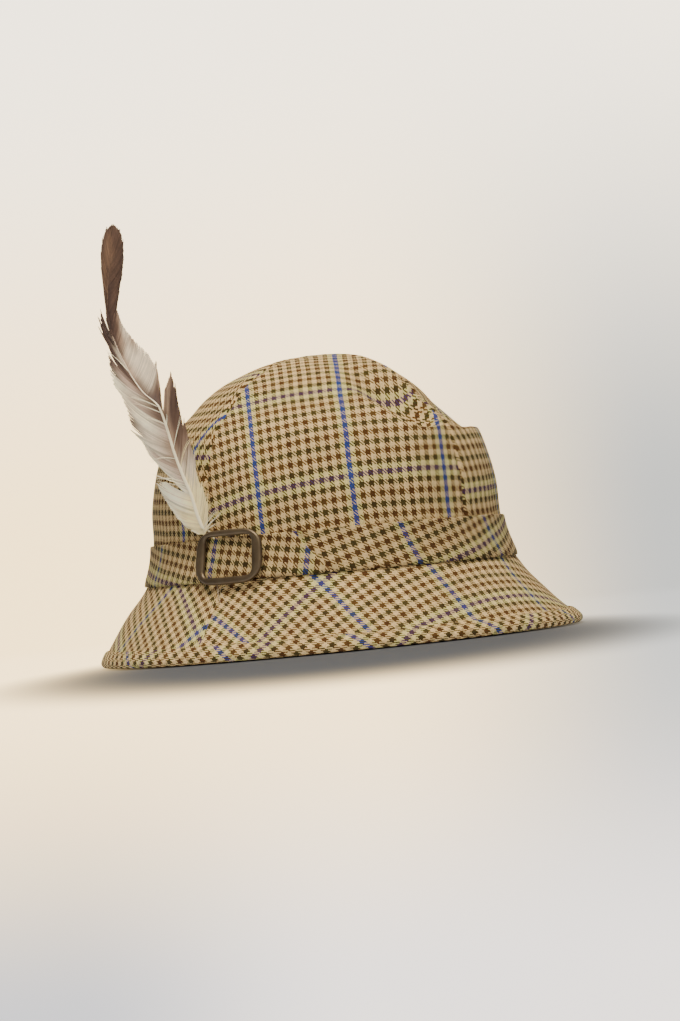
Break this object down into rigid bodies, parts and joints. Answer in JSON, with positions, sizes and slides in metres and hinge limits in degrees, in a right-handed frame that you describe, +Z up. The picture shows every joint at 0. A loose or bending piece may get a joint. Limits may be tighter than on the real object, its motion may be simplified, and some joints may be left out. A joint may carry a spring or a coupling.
{
  "type": "trilby hat",
  "caption": "Soft trilby of checked wool tweed with a pinched crown, a buckled band of the same cloth, a turned-down brim and a long feather.",
  "frame": {"origin": "on the floor under the centre of the brim", "axes": "+Z up, -Y the front of the hat, -X the wearer's right, where the buckle and feather are"},
  "size_m": [0.2383, 0.2744, 0.2255],
  "materials": {
    "tweed": "wool tweed in a small check with blue and purple window-pane lines",
    "tweed_bias": "the same tweed cut on the bias",
    "buckle_metal": "satin, dark olive-bronze",
    "plume": "natural feather, cream with brown markings"
  },
  "bodies": {
    "root": {"crown_front_right": "tweed", "crown_front_left": "tweed", "crown_back_right": "tweed", "crown_back_left": "tweed", "hat_band": "tweed_bias", "buckle": "buckle_metal", "brim_front": "tweed", "brim_back": "tweed", "brim_binding": "tweed_bias", "feather": "plume"}
  },
  "joints": []
}
